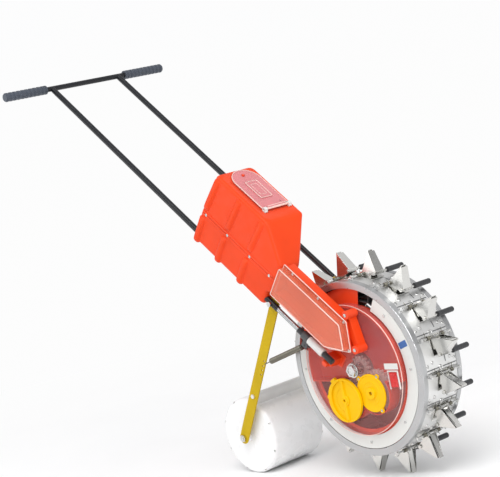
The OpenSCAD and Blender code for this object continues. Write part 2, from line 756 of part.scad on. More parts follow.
// Wedge that narrows towards the beak's tip, with half width b at the tread
module beak_taper(b) {
    translate([-50, 0, 0]) rotate([90, 0, 90]) linear_extrude(100)
        polygon([[-b, -3], [b, -3], [b - taper, beak_h + 3], [-b + taper, beak_h + 3]]);
}
// Outlines in the beak's own frame, x leading and z up
fixed_side = [[pin_x - 6, 1.6], [10, 1.6], [9, 12], [tip_half, beak_h], [-tip_half, beak_h],
    [-15, 14], [pin_x - 6, 12]];
bill_side = [[pin_x - 5, 4.2], [pin_x - 1, 2.8], [pin_x + 3, 3.4], [29, 11.4], [30, 20], [4.6, bill_h],
    [2, bill_h], [pin_x + 2, 13.5], [pin_x - 4, 12.5], [pin_x - 6, 9]];

module at_beak(i) { rotate([0, beak_first + i * beak_pitch, 0]) translate([0, 0, plate_r]) children(); }

module fixed_beak() {
    difference() {
        union() {
            translate([-27, -21, eps]) difference() {
                cube([52, 42, 1.6]);
                translate([16, 10, -1]) cube([22, 22, 4]);
            }
            intersection() {
                difference() {
                    xz(-30, 30) polygon(fixed_side);
                    difference() {
                        beak_taper(fixed_half_base - plate_t);
                        // trailing blade between the cheeks
                        xz(-30, 30) polygon([[-17, 3], [-15 + 0.1, 14], [-tip_half, beak_h],
                            [tip_half, beak_h], [tip_half, beak_h - 4], [-15 + blade_t, 12], [-14, 0]]);
                    }
                }
                beak_taper(fixed_half_base);
            }
        }
        ybar(pin_r + slack, -30, 30, pin_x, pin_z);
    }
}
module fixed_beaks() color("#c8cbce") machine() for (i = [0:beak_count - 1]) at_beak(i) fixed_beak();

// Moving half of a beak, with its lever rod and rubber sleeve
module bill() {
    difference() {
        union() {
            intersection() {
                difference() {
                    xz(-30, 30) polygon(bill_side);
                    difference() {
                        beak_taper(moving_half_base - plate_t);
                        // leading blade between the cheeks
                        xz(-30, 30) polygon([[29 - blade_t, 11.1], [29, 11.4], [30, 20], [4.6, bill_h],
                            [4.6 - 2, bill_h], [30 - 1.9, 19.5]]);
                    }
                }
                beak_taper(moving_half_base);
            }
            ybar(lever_r, -19, 84, lever_x, lever_z);
            for (y = [-18.6, 16.4]) ybar(4.6, y, y + 2.2, lever_x, lever_z);
        }
        ybar(pin_r + slack, -30, 30, pin_x, pin_z);
    }
    difference() {
        ybar(sleeve_r, 30, 86, lever_x, lever_z);
        ybar(lever_r + slack, 29, 84.1, lever_x, lever_z);
    }
}
module beak(i) color("#c8cbce") machine() at_beak(i) bill();

module wheel_disc() color("#9a9da1") machine() difference() {
    ring(205, 33, half_w - 6, half_w - 3.2, fine);
    around(8, 22.5) translate([0, 0, 125]) ybar(26, 40, 80);
    around(8) translate([0, 0, disc_bolt_r]) ybar(2.6, 40, 80);
    around(6) translate([0, 0, 42]) ybar(3.1, 40, 80);
}
module wheel_hub() color("#7d8084") machine() difference() {
    union() {
        ybar(26, 30, half_w - 3.2);
        ybar(50, half_w - 9, half_w - 6 - eps);
        ybar(16, gear_lo - 1, 30.5);
    }
    ybar(20 + eps, 42, 80);
    ybar(12, -70, 43);
    around(6) translate([0, 0, 42]) ybar(3.1, 40, 80);
}
module hub_bearings() color("silver") machine() {
    ring(20, 10 + slack, 42.2, 52);
    ring(20, 10 + slack, 56.8, half_w - 3.2);
    ring(11.9, 10 + slack, -60, -45);
}
// Ring of open cells inside the tread, one for each beak, moulded singly with flat floors
module cell_block(r0, r1, y0, y1, gap) intersection() {
    ybar(r1, y0, y1, f = fine);
    xz(y0, y1) polygon([for (p = [[-1, r0], [1, r0], [1, r1 + 5], [-1, r1 + 5]])
        [p[0] * (p[1] * tan(beak_pitch / 2) - gap), p[1]]]);
}
module cell_ring() color("#eceeee") machine() around(beak_count, beak_first) {
    difference() {
        cell_block(174, 219.5, -54, 30, 0.15);
        cell_block(176.5, 217, -55, 27.5, 1.35);
        translate([-9, -9, 200]) cube([18, 18, 40]);
        // seed inlet in the floor
        translate([-14, -40, 160]) cube([28, 50, 20]);
    }
    // feet on the near ring's flange
    for (x = [-32, 24]) translate([x, 3 - half_w, 211]) cube([8, 17, 6]);
}

// ---------------------------------------------------------------- the machine

crossbar();
grip_left();
grip_right();
handle_tube_left();
handle_tube_right();
lower_tubes();
tube_sleeves();
axle();
frame_bolts();
tube_socket();
axle_bracket();
hopper_top();
hopper_base();
tube_brackets();
lid_clips();
chute_body();
chute_cover();
seed_housing();
side_disc();
side_ring();
gear_cover();
case_screws();
tension_springs();
hopper_lid();
seed_cover();
seed_gate();
idler_gear();
seed_wheel();
roller_struts();
roller_axle();
scraper_bar();
roller_drum();
roller_caps();
ring_near();
ring_far();
tread_plates();
wheel_screws();
pivot_pins();
fixed_beaks();
wheel_disc();
wheel_hub();
hub_bearings();
cell_ring();
hub_gear();
for (i = [1:beak_count]) beak(i - 1);
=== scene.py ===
import json
import math
import bpy
import bmesh
from mathutils import Matrix, Vector


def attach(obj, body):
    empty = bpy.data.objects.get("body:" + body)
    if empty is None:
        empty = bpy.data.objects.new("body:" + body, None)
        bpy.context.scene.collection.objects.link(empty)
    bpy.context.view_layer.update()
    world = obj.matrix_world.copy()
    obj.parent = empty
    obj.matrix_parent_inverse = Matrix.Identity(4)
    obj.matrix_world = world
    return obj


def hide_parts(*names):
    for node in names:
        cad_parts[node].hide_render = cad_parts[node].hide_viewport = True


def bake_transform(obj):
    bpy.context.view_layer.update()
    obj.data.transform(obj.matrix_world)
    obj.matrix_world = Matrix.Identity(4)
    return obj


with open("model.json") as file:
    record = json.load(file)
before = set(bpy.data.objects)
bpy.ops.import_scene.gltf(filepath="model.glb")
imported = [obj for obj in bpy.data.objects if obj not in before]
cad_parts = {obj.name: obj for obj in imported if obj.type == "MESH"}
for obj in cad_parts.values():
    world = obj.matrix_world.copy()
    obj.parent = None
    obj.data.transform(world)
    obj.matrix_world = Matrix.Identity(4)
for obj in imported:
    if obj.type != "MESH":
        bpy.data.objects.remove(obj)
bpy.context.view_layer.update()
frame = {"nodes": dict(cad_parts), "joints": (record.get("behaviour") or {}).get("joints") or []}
NODES = frame["nodes"]

# Where the joints' axes are in the row frame, in metres. Other sizes and places are in millimetres, as in
# the CAD, unless a comment says metres.
AXIS = {joint["name"]: Vector(joint["pos_m"]) for joint in frame["joints"] if "pos_m" in joint}
WHEEL, ROLLER, STRUT = AXIS["wheel_spin"], AXIS["roller_spin"], AXIS["strut_swing"]
SEED_COVER, IDLER = AXIS["cover_turn"], AXIS["idler_spin"]
SLOPE = math.radians(40.5)
COS, SIN = math.cos(SLOPE), math.sin(SLOPE)
BEAKS = 16
BEAK_PITCH = 360 / BEAKS
BEAK_ANGLES = [BEAK_PITCH * (i + 0.5) for i in range(BEAKS)]
RIGHT, LEFT = (0, -1, 0), (0, 1, 0)


def at_wheel(x, y, z):
    """A point given from the wheel's centre, in the row frame in metres."""
    return WHEEL + Vector((x, y, z)) / 1000


def on_slope(s, y, h):
    """A point s up the handle tubes and h square to them."""
    return at_wheel(-s * COS + h * SIN, y, s * SIN + h * COS)


def spoke(degrees):
    """The directions out from the wheel's centre and forward along the rim."""
    t = math.radians(degrees)
    return Vector((math.sin(t), 0, math.cos(t))), Vector((math.cos(t), 0, -math.sin(t)))


def round_axis(axis, degrees, r, y):
    """A point at a radius round an axis, turned upwards from straight ahead."""
    t = math.radians(degrees)
    return Vector((axis.x + r * math.cos(t) / 1000, y / 1000, axis.z + r * math.sin(t) / 1000))


def circle(n):
    """The angles of n points round a full turn."""
    return [2 * math.pi * i / n for i in range(n)]


# ---------------------------------------------------------------- materials

def add(tree, kind, values=None, links=None, **properties):
    """A shader node with its properties, its sockets' constants and the outputs that feed it."""
    made = tree.nodes.new("ShaderNode" + kind)
    for key, value in properties.items():
        setattr(made, key, value)
    for key, value in (values or {}).items():
        made.inputs[key].default_value = value
    for key, source in (links or {}).items():
        tree.links.new(source, made.inputs[key])
    return made


def ramp(tree, source, stops):
    """A colour ramp of (position, colour) stops."""
    made = add(tree, "ValToRGB", links={"Fac": source})
    elements = made.color_ramp.elements
    for i in (0, -1):
        elements[i].position, elements[i].color = stops[i]
    for position, colour in stops[1:-1]:
        elements.new(position).color = colour
    return made.outputs["Color"]


def tinted(tree, colour, factor, tint):
    """One colour mixed into another by a factor."""
    mix = add(tree, "Mix", {"B": list(tint) + [1]}, {"Factor": factor, "A": colour}, data_type="RGBA")
    return mix.outputs["Result"]


def surface(name, rgb, rough=0.4, metal=0.0, spread=0.06, grain=700, bump=0.08, big=9, stretch=(1, 1, 1),
            rough_spread=0.08, wear=0.0, coat=0.0, alpha=1.0, sheen=0.0, spec=0.5, shade_patch=None):
    """Clouded colour, smudged roughness and a fine grain, with edge wear and painted shade in another colour
    round a point.
    """
    mat = bpy.data.materials.new(name)
    mat.use_nodes = True
    tree = mat.node_tree
    bsdf = tree.nodes["Principled BSDF"]
    bsdf.inputs["Metallic"].default_value = metal
    bsdf.inputs["Specular IOR Level"].default_value = spec
    bsdf.inputs["Coat Weight"].default_value = coat
    bsdf.inputs["Coat Roughness"].default_value = 0.08
    bsdf.inputs["Alpha"].default_value = alpha
    bsdf.inputs["Sheen Weight"].default_value = sheen
    place = add(tree, "TexCoord").outputs["Object"]
    scaled = add(tree, "Mapping", {"Scale": stretch}, {"Vector": place}).outputs["Vector"]

    def noise(scale, detail, vector):
        return add(tree, "TexNoise", {"Scale": scale, "Detail": detail}, {"Vector": vector}).outputs["Fac"]

    shades = ((0.3, 1 - spread), (0.7, 1 + spread))
    colour = ramp(tree, noise(big, 5, place),
                  [(at, [min(1, c * share) for c in rgb] + [1]) for at, share in shades])
    if shade_patch:
        # painted shade: the other, darker colour round a point, fading out between two radii in metres
        centre, inner, outer, tint = shade_patch
        away = add(tree, "VectorMath", {1: centre}, {0: place}, operation="DISTANCE")
        fade = add(tree, "MapRange", {"From Min": inner, "From Max": outer, "To Min": 1, "To Max": 0},
                   {"Value": away.outputs["Value"]}, interpolation_type="SMOOTHSTEP")
        colour = tinted(tree, colour, fade.outputs["Result"], tint)
    if wear:
        edges = ramp(tree, add(tree, "NewGeometry").outputs["Pointiness"],
                     [(0.52, (0, 0, 0, 1)), (0.62, (1, 1, 1, 1))])
        amount = add(tree, "Math", {1: wear}, {0: edges}, operation="MULTIPLY")
        colour = tinted(tree, colour, amount.outputs[0], [min(1, 0.25 + c * 0.9) for c in rgb])
    tree.links.new(colour, bsdf.inputs["Base Color"])
    smooth, coarse = max(0.02, rough - rough_spread), min(1, rough + rough_spread)
    span = add(tree, "MapRange", {"From Min": 0.3, "From Max": 0.7, "To Min": smooth, "To Max": coarse},
               {"Value": noise(big * 5, 4, scaled)})
    tree.links.new(span.outputs["Result"], bsdf.inputs["Roughness"])
    height = add(tree, "Bump", {"Strength": bump, "Distance": 0.0002}, {"Height": noise(grain, 3, scaled)})
    tree.links.new(height.outputs["Normal"], bsdf.inputs["Normal"])
    return mat


ORANGE = surface("moulded_orange", (0.80, 0.058, 0.008), 0.42, spread=0.08, grain=1100, bump=0.12, wear=0.22,
                 spec=0.2)
# the seed housing is painted deep red round a point inside it: painted shade, fading out between 45 and 105
# mm
GUARD = surface("moulded_red_orange", (0.82, 0.066, 0.016), 0.36, spread=0.08, grain=1000, bump=0.1,
                wear=0.2, spec=0.3, shade_patch=(at_wheel(52, -50, 70), 0.045, 0.105, (0.46, 0.005, 0.010)))
CLEAR = surface("clear_red", (0.86, 0.22, 0.12), 0.12, spread=0.10, bump=0.03, alpha=0.46, coat=0.6,
                rough_spread=0.05)
LID = surface("clear_pink", (0.86, 0.30, 0.32), 0.14, spread=0.08, bump=0.03, alpha=0.66, coat=0.4,
              rough_spread=0.05)
# a lighter, more opaque copy of the clear pink, laid along the covers' edges as painted highlight
EDGE_HIGHLIGHT = surface("clear_edge_painted_highlight", (0.98, 0.66, 0.60), 0.14, spread=0.10, bump=0.02, alpha=0.86, coat=0.5)
DISC = surface("clear_disc", (0.66, 0.24, 0.23), 0.08, spread=0.15, bump=0.02, alpha=0.17, coat=0.3,
               rough_spread=0.04)
YELLOW = surface("moulded_yellow", (0.90, 0.52, 0.0), 0.44, spread=0.07, bump=0.1, spec=0.16)
RED = surface("moulded_red", (0.62, 0.012, 0.012), 0.28, bump=0.05, wear=0.15)
WHITE = surface("moulded_white", (0.70, 0.705, 0.68), 0.36, spread=0.04, bump=0.06)
NATURAL = surface("moulded_natural", (0.88, 0.885, 0.89), 0.30, spread=0.05, bump=0.05, big=5, coat=0.25)
CELLS = surface("cell_plastic", (0.070, 0.068, 0.070), 0.5, spread=0.25, bump=0.1)
BLUE = surface("blue_tag", (0.035, 0.12, 0.36), 0.35, bump=0.04)
BLACK = surface("black_paint", (0.009, 0.010, 0.013), 0.30, spread=0.12, grain=900, bump=0.06, spec=0.4)
RUBBER = surface("rubber", (0.018, 0.019, 0.022), 0.62, spread=0.2, grain=1500, bump=0.35, sheen=0.2)
GRIP = surface("grip_rubber", (0.050, 0.062, 0.085), 0.58, spread=0.15, grain=1400, bump=0.35, sheen=0.2)
MUSTARD = surface("strut_paint", (0.53, 0.36, 0.0), 0.46, spread=0.08, grain=500, bump=0.12, wear=0.1,
                  spec=0.12)
GREY = surface("bracket_paint", (0.055, 0.057, 0.060), 0.42, spread=0.12, bump=0.15, wear=0.2)
STEEL = surface("sheet_steel", (0.78, 0.78, 0.77), 0.40, metal=0.85, spread=0.05, grain=160, bump=0.10,
                big=14, stretch=(1, 9, 1), rough_spread=0.03)
BEAK = surface("beak_steel", (0.70, 0.695, 0.67), 0.20, metal=1, spread=0.04, grain=220, bump=0.02, big=10,
               rough_spread=0.02)
RIM = surface("rim_steel", (0.50, 0.505, 0.51), 0.30, metal=0.9, spread=0.06, grain=150, bump=0.004, big=12,
              rough_spread=0.03)
ZINC = surface("zinc", (0.66, 0.66, 0.65), 0.26, metal=1, spread=0.10, grain=400, bump=0.08, big=60)
TUBE = surface("zinc_tube", (0.40, 0.41, 0.42), 0.26, metal=1, spread=0.08, grain=120, bump=0.08,
               stretch=(1, 6, 1))
CAST = surface("cast_alloy", (0.40, 0.41, 0.42), 0.48, metal=1, spread=0.12, grain=600, bump=0.4)
WIRE = surface("spring_wire", (0.20, 0.19, 0.155), 0.36, metal=0.85, spread=0.12, grain=500, bump=0.1)

# CAD node: material, bevel in mm (0 leaves its edges as they are)
LOOK = {
    "crossbar": (BLACK, 0), "grip_left": (GRIP, 0.5), "grip_right": (GRIP, 0.5),
    "handle_tube_left": (BLACK, 0), "handle_tube_right": (BLACK, 0), "lower_tubes": (TUBE, 0),
    "axle": (ZINC, 0.6), "frame_bolts": (ZINC, 0.5), "tube_socket": (ORANGE, 1.5),
    "axle_bracket": (GREY, 0.8), "tube_brackets": (GREY, 0.8), "lid_clips": (WHITE, 0.8),
    "chute_body": (ORANGE, 1.0), "chute_cover": (CLEAR, 0.8), "seed_housing": (GUARD, 1.0),
    "side_disc": (DISC, 0.5), "side_ring": (WHITE, 0.5), "gear_cover": (YELLOW, 0.8),
    "hopper_lid": (LID, 0.8), "seed_cover": (YELLOW, 1.0), "seed_gate": (RED, 0.4),
    "idler_gear": (WHITE, 0), "seed_wheel": (WHITE, 0), "hub_gear": (WHITE, 0), "cell_ring": (CELLS, 0),
    "roller_struts": (MUSTARD, 0.6), "roller_axle": (ZINC, 0.5), "scraper_bar": (STEEL, 0.3),
    "roller_drum": (NATURAL, 0), "roller_caps": (NATURAL, 0.4), "ring_near": (RIM, 0), "ring_far": (RIM, 0),
    "tread_plates": (STEEL, 0), "pivot_pins": (ZINC, 0.3), "fixed_beaks": (BEAK, 0.25),
    "wheel_disc": (STEEL, 0.4), "wheel_hub": (CAST, 0.8), "hub_bearings": (ZINC, 0.3),
    # these six are replaced by finer pieces below
    "hopper_top": (ORANGE, 0), "hopper_base": (ORANGE, 0), "tube_sleeves": (RUBBER, 0),
    "wheel_screws": (ZINC, 0), "case_screws": (ZINC, 0), "tension_springs": (WIRE, 0),
}
for i in range(1, BEAKS + 1):
    LOOK[f"beak_{i}"] = (BEAK, 0.25)


def soften(obj, width):
    """Rounded edges, as modifiers, on a mesh whose flat faces may be cut in triangles."""
    obj.data.shade_smooth()
    weld = obj.modifiers.new("weld", "WELD")
    weld.merge_threshold = 2e-6
    flat = obj.modifiers.new("flat", "DECIMATE")
    flat.decimate_type = "DISSOLVE"
    flat.angle_limit = math.radians(0.4)
    bevel = obj.modifiers.new("bevel", "BEVEL")
    bevel.width = width / 1000
    bevel.segments = 2
    bevel.limit_method = "ANGLE"
    bevel.angle_limit = math.radians(30)
    bevel.use_clamp_overlap = False
    bevel.miter_outer = "MITER_ARC"
    normals = obj.modifiers.new("normals", "WEIGHTED_NORMAL")
    normals.keep_sharp = True
    normals.weight = 80


for name, (mat, width) in LOOK.items():
    NODES[name].data.materials.clear()
    NODES[name].data.materials.append(mat)
    if width:
        soften(NODES[name], width)


# ---------------------------------------------------------------- making pieces

def rounded(points, radii, steps=5):
    """The closed outline with each corner curved by its own radius."""
    out, n = [], len(points)
    for i, r in enumerate(radii):
        p = Vector(points[i])
        a, b = Vector(points[i - 1]) - p, Vector(points[(i + 1) % n]) - p
        r = min(r, a.length * 0.45, b.length * 0.45)
        a, b = a.normalized() * r, b.normalized() * r
        for k in range(steps + 1):
            t = k / steps
            out.append((1 - t) ** 2 * (p + a) + 2 * t * (1 - t) * p + t * t * (p + b))
    return out


class Shape:
    """Vertices in metres and faces, gathered from several parts."""

    def __init__(self):
        self.v, self.f = [], []

    def loft(self, rings, cap_first=True, cap_last=True):
        """A skin over closed rings of equal count."""
        first, n = len(self.v), len(rings[0])
        self.v += [Vector(p) for ring in rings for p in ring]
        for k in range(len(rings) - 1):
            low, high = first + k * n, first + (k + 1) * n
            self.f += [[low + i, low + (i + 1) % n, high + (i + 1) % n, high + i] for i in range(n)]
        if cap_first:
            self.f.append([first + i for i in range(n)][::-1])
        if cap_last:
            self.f.append([first + (len(rings) - 1) * n + i for i in range(n)])

    def lathe(self, profile, origin, axis, segments=32):
        """profile holds (distance along axis, radius). Closed where the radius is 0."""
        axis = Vector(axis).normalized()
        a = axis.orthogonal().normalized()
        b = axis.cross(a)
        self.loft([[origin + (axis * d + (a * math.cos(t) + b * math.sin(t)) * max(r, 0.001)) / 1000
                    for t in circle(segments)] for d, r in profile])

    def tube(self, path, radius, segments=8):
        """A round wire along a path in metres."""
        rings, normal = [], None
        for i, p in enumerate(path):
            along = (path[min(i + 1, len(path) - 1)] - path[max(i - 1, 0)]).normalized()
            normal = along.orthogonal() if normal is None else normal - along * normal.dot(along)
            normal.normalize()
            other = along.cross(normal)
            rings.append([p + (normal * math.cos(t) + other * math.sin(t)) * radius / 1000
                          for t in circle(segments)])
        self.loft(rings)

    def screw(self, at, out, radius, height, turn=0.4):
        """A domed head with a cross recess. at is under the head, out points away from the part."""
        out = Vector(out).normalized()
        a = out.orthogonal().normalized()
        b = out.cross(a)
        steps, segments = 7, 56
        rings = []
        for k in range(steps + 1):
            r = radius * k / steps
            ring = []
            for t in circle(segments):
                x, y = r * math.cos(t), r * math.sin(t)
                z = height * (1 - 0.42 * (r / radius) ** 2.6)
                slot = min(abs(x * math.cos(turn) + y * math.sin(turn)),
                           abs(y * math.cos(turn) - x * math.sin(turn)))
                if r < radius * 0.60 and slot < radius * 0.13:
                    z -= height * 0.5
                ring.append(at + (a * x + b * y + out * z) / 1000)
            rings.append(ring)
        rings.append([at + (a * math.cos(t) + b * math.sin(t)) * radius / 1000 for t in circle(segments)])
        self.loft(rings, cap_first=False)


def place_object(name, data):
    obj = bpy.data.objects.new(name, data)
    bpy.context.scene.collection.objects.link(obj)
    return obj


def piece(name, shape, mat, body, smooth=40, replaces=(), ride=True, fill=None):
    """A visual piece made from a Shape, with sharp edges over smooth degrees. fill may add faces to it."""
    mesh = bpy.data.meshes.new(name)
    mesh.from_pydata([tuple(v) for v in shape.v], [], shape.f)
    bm = bmesh.new()
    bm.from_mesh(mesh)
    bmesh.ops.remove_doubles(bm, verts=bm.verts, dist=1e-6)
    if fill:
        fill(bm)
    bmesh.ops.recalc_face_normals(bm, faces=bm.faces)
    bm.to_mesh(mesh)
    bm.free()
    mesh.shade_smooth()
    mesh.set_sharp_from_angle(angle=math.radians(smooth))
    mesh.materials.append(mat)
    obj = place_object(name, mesh)
    if ride:
        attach(obj, body)
    if replaces:
        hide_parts(*replaces)
    return obj


# ---------------------------------------------------------------- hopper

REAR, FRONT, FOOT = 606, 288, 304
TOP, SEAM, LOW = 190, 78, -12
# y of each side wall up to the seam, and where its lean would reach just over the top
WALLS = {-1: (-131, -116), 1: (22, 12)}
# the front wall steps from its foot to its upright part between two heights, then bends back
FOOT_TOP, UPRIGHT, BEND_AT, BEND, LEAN = 30, 40, 116, 9, 103 / 74
# ahead of here the left wall turns in towards the chute
TURN_S, TURN = 392, 80 / 104
MOUTH, MOUTH_RADIUS = [(455, -86), (455, -8), (556, -8), (556, -86)], 8


def side_y(h, side):
    low, high = WALLS[side]
    return low + (high - low) * max(0, h - SEAM) / (TOP + 1 - SEAM)


def front_s(h):
    past = h - BEND_AT
    if h <= UPRIGHT:
        return FOOT - (FOOT - FRONT) * max(0, h - FOOT_TOP) / (UPRIGHT - FOOT_TOP)
    if past < -BEND:
        return FRONT
    if past < BEND:
        return FRONT + (past + BEND) ** 2 / (4 * BEND) * LEAN
    return FRONT + past * LEAN


def hopper_ring(h, inset=0.0):
    """The hopper's outline at a height, moved in by an inset."""
    right, left = side_y(h, -1) + inset, side_y(h, 1) - inset
    front, rear = front_s(h) + inset, REAR - inset
    corner = left + min(0, max(front, FRONT + 1) - TURN_S) * TURN
    points = [(rear, right), (rear, left), (max(TURN_S + 1, front + 3), left),
              (front, corner), (front, right)]
    return [on_slope(q.x, q.y, h) for q in rounded(points, (16, 16, 14, 10, 12), 6)]


def mouth_top(bm):
    """The flat top, between the wall's last slice and the rounded filling mouth."""
    bm.verts.ensure_lookup_table()
    outer = bm.verts[len(bm.verts) - len(hopper_ring(TOP)):]
    mouth = [bm.verts.new(on_slope(q.x, q.y, TOP)) for q in rounded(MOUTH, [MOUTH_RADIUS] * 4, 4)]
    edges = [bm.edges.get(ends) for ends in zip(outer, outer[1:] + outer[:1])]
    edges += [bm.edges.new(ends) for ends in zip(mouth, mouth[1:] + mouth[:1])]
    bmesh.ops.triangle_fill(bm, use_beauty=True, use_dissolve=False, edges=edges)


def hopper_shell(name, node, lower_edge, heights, upper_edge, fill=None):
    """A moulded half of the hopper from (height, inset) slices. heights are those with no inset."""
    shape = Shape()
    shape.loft([hopper_ring(h, inset) for h, inset in lower_edge + [(h, 0) for h in heights] + upper_edge],
               cap_first=fill is None, cap_last=False)
    shell = piece(name, shape, ORANGE, "frame", 50, replaces=(node,), fill=fill)
    wall = shell.modifiers.new("wall", "SOLIDIFY")
    wall.thickness = 0.003
    wall.offset = -1
    wall.use_even_offset = True


# the slices are close where the front wall bends
hopper_shell("hopper_upper_shell", "hopper_top", [(78.4, 1.0), (78.9, 0.3), (80, 0)],
             [85, 92, 100, *range(106, 127, 3), 132, 140, 150, 160, 168, 175, 180, 183],
             [(185.5, 0.6), (187.4, 1.8), (188.8, 3.6), (189.6, 5.6), (190, 8)], mouth_top)
hopper_shell("hopper_lower_shell", "hopper_base", [(-12, 8), (-11.6, 5), (-10.4, 2.4), (-8.4, 0.8)],
             [-6, 0, 10, 20, 29, 32, 35, 38, 41, 50, 60, 70], [(76.4, 0), (77.4, 0.3), (77.9, 1.0)])

RIB_WIDTH, RIB_HEIGHT = 25, 7


def rib(shape, s, path):
    """A moulded rib at s. path holds y and h on the wall, the way out of it, and a share of the height."""
    half = [(-0.5, -1.5), (-0.5, 0), (-0.40, 0.30), (-0.28, 0.82), (-0.14, 1)]
    rings = []
    for y, h, out_y, out_h, share in path:
        width = RIB_WIDTH * (0.75 + 0.25 * share)
        ring = []
        for w, d in half + [(-w, d) for w, d in half[::-1]]:
            rise = d if d < 0 else d * RIB_HEIGHT * share
            ring.append(on_slope(s + w * width, y + out_y * rise, h + out_h * rise))
        rings.append(ring)
    shape.loft(rings)


def lower_rib(shape, s):
    """Down the right wall, across the bottom and up the left wall."""
    right, left = WALLS[-1][0], WALLS[1][0]
    fade = [(66, 0.05), (63, 0.7), (60, 1), (40, 1)]
    path = [(right, h, -1, 0, share) for h, share in fade + [(20, 1), (0, 1), (-6, 1)]]
    path += [(right + 1, -9, -0.9, -0.4, 1.05), (right + 3, -11.4, -0.6, -0.8, 1.1),
             (right + 7, LOW, 0, -1, 1.1)]
    path += [(y, LOW, 0, -1, 1) for y in (-90, -50, 12)]
    path += [(left - 5, -11.4, 0.5, -0.85, 1.05), (left - 1, -8, 0.9, -0.4, 1.0)]
    path += [(left, h, 1, 0, share) for h, share in [(0, 1)] + fade[::-1]]
    rib(shape, s, path)


def upper_rib(shape, s, side):
    fade = ((90, 0.05), (93, 0.7), (96, 1), (120, 1), (150, 1), (172, 0.95), (179, 0.7), (184, 0.2))
    rib(shape, s, [(side_y(h, side), h, side, 0.12, share) for h, share in fade])


def seam_band(shape, side, start, middle):
    """A raised band along one half's edge at the seam."""
    section = ((-3.4, -1), (-3.4, 0), (-2.6, 1.5), (2.6, 1.5), (3.4, 0), (3.4, -1))
    y = side_y(SEAM, side)
    shape.loft([[on_slope(s, y + side * d, middle + w) for w, d in section] for s in range(start, 601, 20)])


def hopper_ribs():
    shape = Shape()
    for s in (590, 498, 404):
        lower_rib(shape, s)
        for side in (-1, 1):
            upper_rib(shape, s, side)
    for side, start in ((-1, 300), (1, 404)):
        for middle in (SEAM - 4.2, SEAM + 4.2):
            seam_band(shape, side, start, middle)
    ribs = piece("hopper_ribs", shape, ORANGE, "frame", 45)
    soft = ribs.modifiers.new("soft", "SUBSURF")
    soft.levels = soft.render_levels = 1


def lid_peg():
    """The peg that the lid's hole drops over."""
    shape = Shape()
    shape.lathe([(-1, 6), (0, 6), (0.8, 5), (1.4, 4), (5.6, 4), (6.5, 3.5), (7, 2.4), (7, 0)],
                on_slope(574, -47, TOP), (SIN, 0, COS), 28)
    piece("hopper_trim", shape, ORANGE, "frame", 35)


hopper_ribs()
lid_peg()


# ---------------------------------------------------------------- edges of the clear covers, in a pale pink of painted highlight

def lid_edges():
    """The lid's rim, its raised double panel and its hinge bar, in the pale pink of painted highlight."""
    arc_s, arc_r, middle, end = 552, 44.2, -47, 441
    outline = [(end, middle - arc_r)]
    for t in range(-90, 91, 10):
        t = math.radians(t)
        outline.append((arc_s + arc_r * math.cos(t), middle + arc_r * math.sin(t)))
    outline.append((end, middle + arc_r))
    shape = Shape()
    shape.tube([on_slope(s, y, 193.7) for s, y in outline + outline[:1]], 1.5, 6)
    for s0, s1, half, r, thick in ((474.6, 543.4, 19.4, 3, 1.3), (487, 531, 10, 2, 0.8)):
        low, high = middle - half, middle + half
        panel = rounded([(s0, low), (s1, low), (s1, high), (s0, high)], [r] * 4)
        shape.tube([on_slope(q.x, q.y, 196.7) for q in panel + panel[:1]], thick, 6)
    shape.tube([on_slope(432, y, 196) for y in (-90, -60, -30, -4)], 3.0, 12)
    shape.tube([on_slope(438.2, y, 198.4) for y in (-76, -48, -20.5)], 1.2, 8)
    piece("lid_edges", shape, EDGE_HIGHLIGHT, "lid", 60)


def chute_cover_edges():
    raised = [(284.4, 125.4), (51.4, 127.4), (12.2, 77), (69.2, 42.6), (284.4, 42.6)]
    flange = [(285.4, 135.4), (46.3, 137.4), (-0.2, 76), (66.3, 32.6), (285.4, 32.6)]
    shape = Shape()
    for corners, r, y, thick in ((raised, 4, -140.4, 1.5), (flange, 3, -124.2, 1.3)):
        loop = rounded(corners, [r] * 5)
        shape.tube([on_slope(q.x, y, q.y) for q in loop + loop[:1]], thick, 6)
    piece("chute_cover_edges", shape, EDGE_HIGHLIGHT, "frame", 60)


def disc_edge():
    shape = Shape()
    shape.tube([at_wheel(0, -83.6, 0) + spoke(degrees)[0] * 0.1684 for degrees in range(0, 361, 2)], 1.2, 6)
    piece("disc_edge", shape, EDGE_HIGHLIGHT, "frame", 60)


lid_edges()
chute_cover_edges()
disc_edge()

# ---------------------------------------------------------------- screws

# y of the faces that screws and tags stand on, each 0.05 clear of the CAD
WALL_FACE, LEFT_FACE, FLANGE_FACE, ARM_FACE = -131.05, 22.05, -124.65, -122.05
RING_FACE, DISC_FACE, GEAR_FACE = -70.05, -84.05, -87.05
# the gear cover's lugs, and the tread plates' outer face
LUG_R, LUG_ANGLES = 51, (135, 55, -60)
PLATE_R = 224.5


def guard_screws():
    """Along the hopper's seam, round the chute's cover and arm, and on the white ring and the gear cover."""
    shape = Shape()
    for s in (315, 396, 490, 582):
        shape.screw(on_slope(s, WALL_FACE, SEAM), RIGHT, 4.2, 2.4)
    for s in (420, 500, 582):
        shape.screw(on_slope(s, LEFT_FACE, SEAM), LEFT, 4.2, 2.4)
    for s, h in ((250, 131), (150, 131), (52, 132), (6, 76), (110, 38), (220, 38)):
        shape.screw(on_slope(s, FLANGE_FACE, h), RIGHT, 3.8, 2.1, 0.7)
    for s, h in ((58, 148), (-7, 88)):
        shape.screw(on_slope(s, ARM_FACE, h), RIGHT, 4.6, 2.4, 0.2)
    for degrees in range(45, 271, 45):
        at = at_wheel(0, RING_FACE, 0) + spoke(degrees)[0] * 0.190
        shape.screw(at, RIGHT, 3.8, 2.1, math.radians(degrees))
    for degrees in LUG_ANGLES:
        shape.screw(round_axis(IDLER, degrees, LUG_R, GEAR_FACE), RIGHT, 3.4, 2, math.radians(degrees))
    piece("guard_screws", shape, ZINC, "frame", 30, replaces=("case_screws",))


